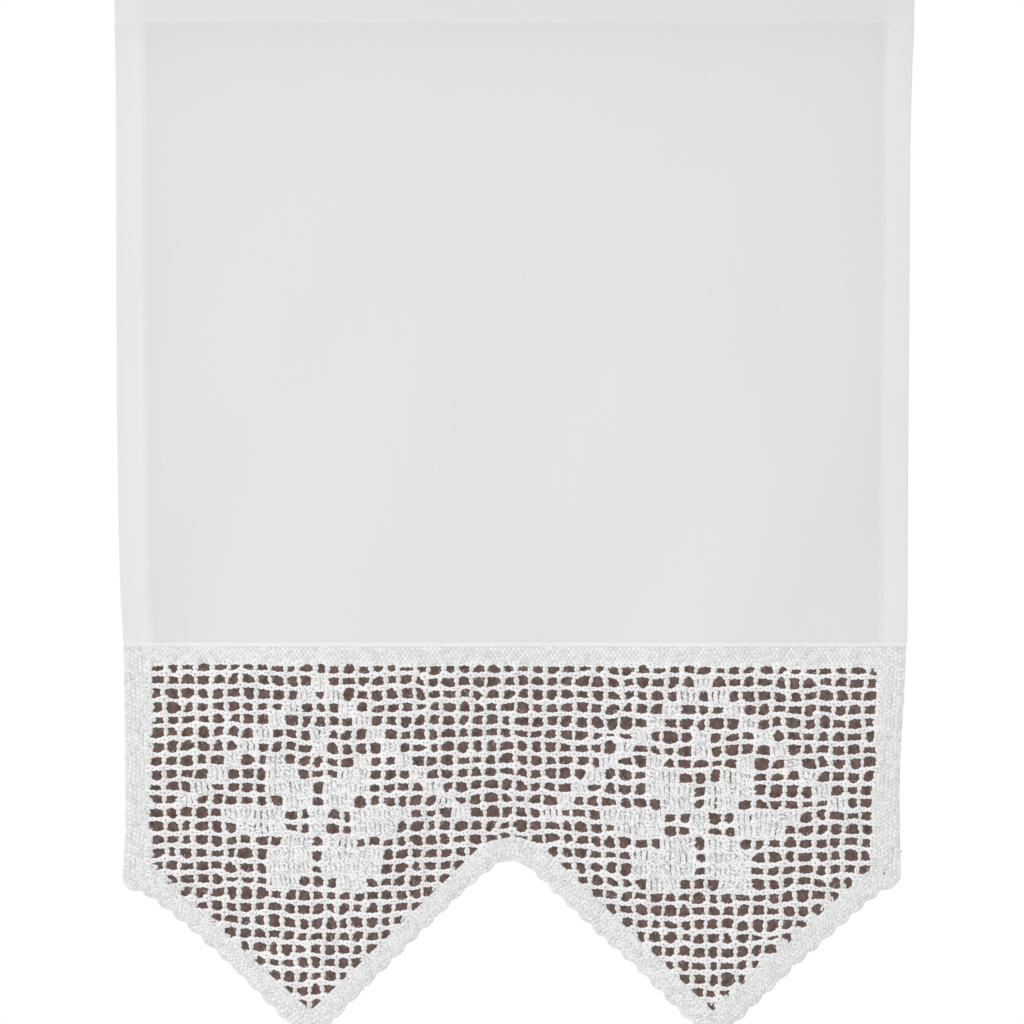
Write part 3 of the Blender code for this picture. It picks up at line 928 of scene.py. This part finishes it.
# %% Panel
CLOTH, TUCK, TUCKED_BACK = 0.26 * MM, 1.6 * MM, 0.28 * MM
PANEL_HEAD = -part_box("panel")[1].z - TUCK
PANEL_HALF = 223.6 * MM
HEM_DEPTH = 0.9 * MM
PanelEdge = namedtuple("PanelEdge", "drop left right")
PANEL_EDGES = (
    PanelEdge(20.8, -225.1, 225.1),
    PanelEdge(42, -224.6, 224.0),
    PanelEdge(65, -224.3, 223.3),
    PanelEdge(100, -224.2, 222.7),
    PanelEdge(180, -224.1, 222.3),
    PanelEdge(235, -223.9, 221.9),
    PanelEdge(290, -223.1, 221.7),
    PanelEdge(323, -222.4, 221.5),
    PanelEdge(346, -221.6, 221.4),
    PanelEdge(369.5, -220.1, 221.1),
)
deselect()
bpy.ops.mesh.primitive_grid_add(x_subdivisions=200, y_subdivisions=130, size=1, rotation=(math.pi / 2, 0, 0))
panel = bpy.context.object
panel.scale = (2 * PANEL_HALF, PANEL_FOOT - PANEL_HEAD, 1)
panel.location = (0, 0, -(PANEL_FOOT + PANEL_HEAD) / 2)
bpy.ops.object.transform_apply(location=True, rotation=True, scale=True)


def push_out(*steps):
    """Extrudes the picked edge step by step, each given in millimetres."""
    for step in steps:
        bpy.ops.mesh.extrude_region_move(TRANSFORM_OT_translate={"value": [value * MM for value in step]})


HEM_WIDTHS = {-1: 15.8 * MM, 1: 15.4 * MM}
HEM_STEPS = 8
for side, hem in HEM_WIDTHS.items():
    pick(panel, lambda co: co.x * side > PANEL_HALF - 0.1 * MM and co.y < 0.1 * MM)
    push_out((side * 0.25, HEM_DEPTH / 2 / MM, 0), (-side * 0.25, HEM_DEPTH / 2 / MM, 0),
             *[(-side * hem / HEM_STEPS / MM, 0, 0)] * HEM_STEPS)
    bpy.ops.object.mode_set(mode="OBJECT")
print("panel with hems:", len(panel.data.polygons), "faces")

# %% Panel foot and shape
FOLD_SOFT, FOOT_SOFT, FOOT_LINE = 0.9 * MM, 0.5 * MM, 0.35 * MM
ROLLED_FOOT = ((0, -0.05, -2.1), (0, -0.15, -0.15), (0, -0.2, 0.15), (0, -0.05, 0.6),
               (0, 0.05, 0.8), (0, 0.15, 0.7), (0, 0.15, 0.35))
bpy.ops.object.mode_set(mode="EDIT")
bpy.ops.mesh.select_all(action="SELECT")
bpy.ops.mesh.bisect(plane_co=(0, 0, FOOT_LINE - PANEL_FOOT), plane_no=(0, 0, 1))
bpy.ops.object.mode_set(mode="OBJECT")
pick(panel, lambda co: co.z < -PANEL_FOOT + 0.05 * MM and co.y < 0.1 * MM)
push_out(*ROLLED_FOOT)
bpy.ops.object.mode_set(mode="OBJECT")
reshape(panel, lambda p: p + np.array((0, 0, 0.2 * MM)))


# Painted shade under the pocket and beside the hems, with how far each reaches.
UNDER_POCKET_PAINTED_SHADE, UNDER_REACH = 0.25, 22 * MM
BESIDE_HEM_PAINTED_SHADE, BESIDE_REACH = 0.13, 12 * MM
# Painted shade towards each hem's outer edge and towards the sides, painted light towards the foot.
HEM_EDGE_PAINTED_SHADE, SIDE_PAINTED_SHADE, LOWER_PAINTED_LIGHT, HEM_SPARED = 0.13, 0.08, 0.125, 0.3


def panel_whiteness(p):
    """Whiter doubled; painted shade under the pocket, by the hems and at the sides; painted light lower down.
    """
    x, drop = p[:, 0], -p[:, 2]
    hem = np.where(x < 0, HEM_WIDTHS[-1], HEM_WIDTHS[1])
    past_fold = np.abs(x) - PANEL_HALF + hem
    on_hem = np.clip(past_fold / FOLD_SOFT + 0.5, 0, 1)
    on_foot = np.clip((drop - PANEL_FOOT) / FOOT_SOFT, 0, 1)
    below = np.clip(drop - POCKET_FOOT, 0, None)
    white = PLAIN_SHARE + np.maximum(on_hem * HEM_SHARE, on_foot * FOOT_SHARE)
    # Painted light towards the foot, and painted shade towards the sides.
    white += LOWER_PAINTED_LIGHT * below / (PANEL_FOOT - POCKET_FOOT) - SIDE_PAINTED_SHADE * (x / PANEL_HALF) ** 2
    # Painted shade under the pocket, partly spared on the hems.
    white -= UNDER_POCKET_PAINTED_SHADE * np.exp(-below / UNDER_REACH) * (1 - HEM_SPARED * on_hem)
    # Painted shade beside each hem.
    white -= BESIDE_HEM_PAINTED_SHADE * np.exp(np.minimum(past_fold, 0) / BESIDE_REACH) * (1 - on_hem)
    # Painted shade towards each hem's outer edge.
    return white - HEM_EDGE_PAINTED_SHADE * np.clip(past_fold / hem, 0, 1)


mark(panel, "whiteness_and_painted_light", panel_whiteness)


def hang_panel(p):
    """Pulls the sides to their outline and lets the cloth wave and pucker."""
    x, y, drop = p[:, 0], p[:, 1], -p[:, 2]
    table = np.array(PANEL_EDGES) * MM
    left = np.interp(drop, table[:, 0], table[:, 1])
    right = np.interp(drop, table[:, 0], table[:, 2])
    share = (x + PANEL_HALF) / (2 * PANEL_HALF)
    x = left + 0.2 * MM + (right - left - 0.4 * MM) * share
    small = np.array([noise(Vector((a * 420, b * 60, 0))) for a, b in zip(x, drop)])
    broad = np.array([noise(Vector((a * 26, b * 9, 5))) for a, b in zip(x, drop)])
    near_head = np.exp(-((drop - POCKET_FOOT - 6 * MM) / (5 * MM)) ** 2)
    near_foot = np.exp(-(PANEL_FOOT - drop) / (5 * MM))
    hung = np.clip((drop - POCKET_FOOT) / (20 * MM), 0, 1)
    tucked = np.clip((POCKET_FOOT - drop) / TUCK, 0, 1) * TUCKED_BACK
    y = y + wave(x, drop) + small * (near_head * hung * 0.3 + near_foot * 0.2) * MM + broad * hung * 0.35 * MM
    return np.stack((x, y + tucked, -drop), axis=1)


reshape(panel, hang_panel)
apply_modifier(panel, "SOLIDIFY", thickness=CLOTH, offset=0)
soften(panel)
keep(panel, "woven_panel", fine_cloth)

# %% [markdown]
# ## The rod pocket
#
# The head of the curtain is folded over and sewn down, so that a rod slides through. Its section is a
# drop: round over the rod and drawn in to the stitch line below. A circle is the start. Its lower points
# are pulled down to the seam, the outline is extruded along the width, and the long faces are divided so
# that the seam can pucker.

# %% Pocket
POCKET_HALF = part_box("heading")[1].x
ARC_RADIUS = POCKET_RADIUS - 0.25 * MM
BACK_FOOT = 0.6 * MM
POCKET_POINTS, POCKET_RINGS = 72, 220
SEWN = 4.0 * MM
TANGENT = math.atan2(ARC_RADIUS, POCKET_FOOT - SEWN)
deselect()
bpy.ops.mesh.primitive_circle_add(vertices=POCKET_POINTS, radius=ARC_RADIUS, rotation=(0, math.pi / 2, 0),
                                  location=(-POCKET_HALF, 0, 0))
pocket = bpy.context.object
bpy.ops.object.transform_apply(location=True, rotation=True, scale=True)


def drop_section(p):
    """Draws the lower part of the circle down to the seam, where its front meets the panel's front."""
    turn = np.arctan2(-p[:, 2], np.abs(p[:, 1]))
    share = np.clip((turn - TANGENT) / (math.pi / 2 - TANGENT), 0, 1)
    foot = POCKET_FOOT - 0.2 * MM
    start = ARC_RADIUS * math.sin(TANGENT)
    drop = np.where(share > 0, start + (foot - start) * share ** 0.8, -p[:, 2])
    narrow = np.clip((drop - start) / (foot - SEWN - start), 0, 1)
    at_back = np.clip(p[:, 1] / (0.2 * MM), 0, 1)
    straight = ARC_RADIUS * math.cos(TANGENT) * (2 * at_back - 1) * (1 - narrow)
    straight += BACK_FOOT * at_back * narrow
    return np.stack((p[:, 0], np.where(share > 0, straight, p[:, 1]), -drop), axis=1)


reshape(pocket, drop_section)
pick(pocket, lambda co: True)
push_out((2 * POCKET_HALF / MM, 0, 0))
bpy.ops.mesh.select_mode(type="EDGE")
bpy.ops.mesh.select_all(action="DESELECT")
bpy.ops.object.mode_set(mode="OBJECT")
for line in pocket.data.edges:
    a, b = (pocket.data.vertices[index].co for index in line.vertices)
    line.select = abs(a.x - b.x) > POCKET_HALF
bpy.ops.object.mode_set(mode="EDIT")
bpy.ops.mesh.subdivide(number_cuts=POCKET_RINGS)
bpy.ops.mesh.select_all(action="SELECT")
bpy.ops.mesh.normals_make_consistent(inside=False)
bpy.ops.object.mode_set(mode="OBJECT")

POCKET_HEM = 15.8 * MM
for side in (-1, 1):
    pick(pocket, lambda co: co.x * side > POCKET_HALF - 0.1 * MM)
    bpy.ops.mesh.extrude_region_move()
    bpy.ops.transform.resize(value=(1, 0.9, 0.84))
    push_out(*[(-side * POCKET_HEM / HEM_STEPS / MM, 0, 0)] * HEM_STEPS)
    bpy.ops.object.mode_set(mode="OBJECT")
print("pocket:", len(pocket.data.polygons), "faces")

# %% Pocket shape
CREASE_DROP = 9.6 * MM


def pucker_pocket(p):
    """A crease above the seam, where the turned-in edge ends inside, and small puckers at the seam."""
    x, y, drop = p[:, 0], p[:, 1], -p[:, 2]
    small = np.array([noise(Vector((a * 500, b * 90, 3))) for a, b in zip(x, drop)])
    slow = np.array([noise(Vector((a * 30, b * 40, 7))) for a, b in zip(x, drop)])
    near_seam = np.exp(-((drop - POCKET_FOOT + 3 * MM) / (3 * MM)) ** 2)
    crease = np.exp(-((drop - CREASE_DROP - slow * 0.6 * MM) / (0.9 * MM)) ** 2)
    starts = np.clip((x + POCKET_HALF - 20 * MM) / (12 * MM), 0, 1)
    front = np.where(y < 0, 1.0, 0.0)
    y = y + small * near_seam * 0.12 * MM + front * crease * starts * 0.3 * MM + slow * 0.15 * MM
    return np.stack((x, y, -drop), axis=1)


# Painted shade over the whole pocket and towards its right end.
POCKET_PAINTED_SHADE, RIGHT_PAINTED_SHADE = 0.03, 0.1
# Painted highlight along the sewn ridge at the pocket's foot.
RIDGE_PAINTED_HIGHLIGHT, RIDGE_HEIGHT = 0.22, 0.9 * MM
# Painted shade in a band above that ridge.
HOLLOW_PAINTED_SHADE, HOLLOW_RISE, HOLLOW_REACH = 0.07, 2.6 * MM, 1.6 * MM


def pocket_whiteness(p):
    """Whiter on doubled ends; painted highlight on the sewn ridge; painted shade above it, all over and to
    the right.
    """
    x, drop = p[:, 0], -p[:, 2]
    at_end = np.clip((np.abs(x) - POCKET_HALF + POCKET_HEM) / FOLD_SOFT + 0.5, 0, 1)
    at_ridge = np.clip((drop - POCKET_FOOT + RIDGE_HEIGHT) / (RIDGE_HEIGHT / 2), 0, 1)
    in_hollow = np.exp(-((drop - POCKET_FOOT + HOLLOW_RISE) / HOLLOW_REACH) ** 2)
    # Painted shade over the whole pocket; its hemmed ends are whiter where doubled.
    white = PLAIN_SHARE - POCKET_PAINTED_SHADE + HEM_SHARE / 2 * at_end
    # Painted highlight on the ridge, and painted shade in the hollow above it.
    white += RIDGE_PAINTED_HIGHLIGHT * at_ridge - HOLLOW_PAINTED_SHADE * in_hollow
    # Painted shade towards the right end.
    return white - RIGHT_PAINTED_SHADE * np.clip(x / POCKET_HALF, 0, 1) ** 3


mark(pocket, "whiteness_and_painted_light", pocket_whiteness)
reshape(pocket, pucker_pocket)
apply_modifier(pocket, "SOLIDIFY", thickness=CLOTH, offset=0)
soften(pocket)
keep(pocket, "rod_pocket_cloth", fine_cloth)

# %% [markdown]
# ## Sewing
#
# A row of stitches closes the pocket, and others hold the side hems. One
# stitch is a short thread with its ends bent into the cloth. It is modelled once and laid in rows.

# %% Sewing stitches
sewn = push_up(5, 0.5, 5)
bpy.ops.object.mode_set(mode="OBJECT")
reshape(sewn, lambda p: np.stack((
    p[:, 0] * (1 - 0.5 * (2 * p[:, 2] - 1) ** 4),
    p[:, 1] * (1 - 0.5 * (2 * p[:, 2] - 1) ** 4) - 0.9 * (1 - (2 * p[:, 2] - 1) ** 2), p[:, 2]), axis=1))
store(sewn, "sewing_stitch")

SEWING_PITCH, SEWING_THREAD = 2.4 * MM, 0.28 * MM


def sew(start, end, lift):
    """A row of sewing stitches between two places."""
    places, ways = walk([np.array(start), np.array(end)], SEWING_PITCH)
    return [
        stretch(place, place + way * uneven(1.7 * MM, 0.08), SEWING_THREAD, SEWING_THREAD, lift)
        for place, way in zip(places[:-1], ways)]


hem_lines = []
for side, hem in HEM_WIDTHS.items():
    column = "left" if side < 0 else "right"
    for above, below in zip(PANEL_EDGES, PANEL_EDGES[1:]):
        start = (getattr(above, column) * MM - side * (hem - 1.2 * MM), above.drop * MM)
        end = (getattr(below, column) * MM - side * (hem - 1.2 * MM), below.drop * MM)
        hem_lines += sew(start, end, -CLOTH / 2 + SEWING_THREAD / 2)
foot = POCKET_FOOT - 0.5 * MM
pocket_line = sew((-POCKET_HALF + 1 * MM, foot), (POCKET_HALF - 1 * MM, foot), -CLOTH / 2)
lay("hem_sewing", sewn, hem_lines, sewing_thread)
lay("pocket_sewing", sewn, pocket_line, sewing_thread)

# %% [markdown]
# ## Floor and paper
#
# The floor is a plain pale sheet well below the curtain. The taupe paper stands six metres behind. Its
# outline is the curtain's own, a little smaller, drawn larger by the distance, so that from the camera's
# place it fills the holes of the lace and nothing else. Only every fifth point of the path is used,
# because a path kept inside an edge can fold back on itself at the corners.

# %% Floor
def plain_material(name, colour, scale, darkest):
    """A matt colour with a fine speckle that goes down to this share of it."""
    material = new_material(name, 0.9, 0.0)
    speckle = add_node(material, "ShaderNodeTexNoise", Scale=scale, Detail=3.0)
    ramp = add_node(material, "ShaderNodeValToRGB")
    ramp.color_ramp.elements[0].position, ramp.color_ramp.elements[1].position = 0.3, 0.7
    ramp.color_ramp.elements[0].color = tuple(c * darkest for c in colour[:3]) + (1,)
    ramp.color_ramp.elements[1].color = colour
    shader = material.node_tree.nodes["Principled BSDF"]
    material.node_tree.links.new(speckle.outputs["Fac"], ramp.inputs["Fac"])
    material.node_tree.links.new(ramp.outputs["Color"], shader.inputs["Base Color"])
    return material


deselect()
bpy.ops.mesh.primitive_plane_add(size=2.4, location=(0, 0, -0.95))
floor = bpy.context.object
floor.name = "floor"
floor.data.materials.append(plain_material("pale_floor", (0.82, 0.82, 0.82, 1), 6.0, 0.96))

# %% Paper
PAPER_BEHIND = 6.0
PAPER_INSET, PAPER_STEP = 6.5 * MM, 5
paper_outline = [np.array((-PANEL_HALF + 4 * MM, POCKET_FOOT - 2 * MM))]
paper_outline += list(inside(edge, PAPER_INSET)[::PAPER_STEP])
paper_outline += [np.array((PANEL_HALF - 6 * MM, POCKET_FOOT - 2 * MM))]
grow = (CAMERA_DISTANCE + PAPER_BEHIND) / CAMERA_DISTANCE
deselect()
bpy.ops.mesh.primitive_circle_add(vertices=len(paper_outline), radius=1, fill_type="NGON")
paper = bpy.context.object
paper.name = "taupe_paper"
for point, (x, drop) in zip(paper.data.vertices, paper_outline):
    point.co = (camera.location.x + (x - camera.location.x) * grow, PAPER_BEHIND,
                camera.location.z + (-drop - camera.location.z) * grow)
paper.data.materials.append(plain_material("taupe_paper", (0.235, 0.16, 0.137, 1), 150.0, 0.38))
print("paper stands", PAPER_BEHIND, "m behind")

# %% [markdown]
# ## Put away the patterns and hide the solids
#
# The stitch patterns were only models to copy, so they are removed. Each solid is hidden, and the
# pieces that show it take its place.

# %% Put away the patterns and hide the solids
for pattern in patterns:
    bpy.data.objects.remove(pattern)
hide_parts("panel")
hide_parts("heading")
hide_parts("filet_lace")
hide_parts("picot_edging")
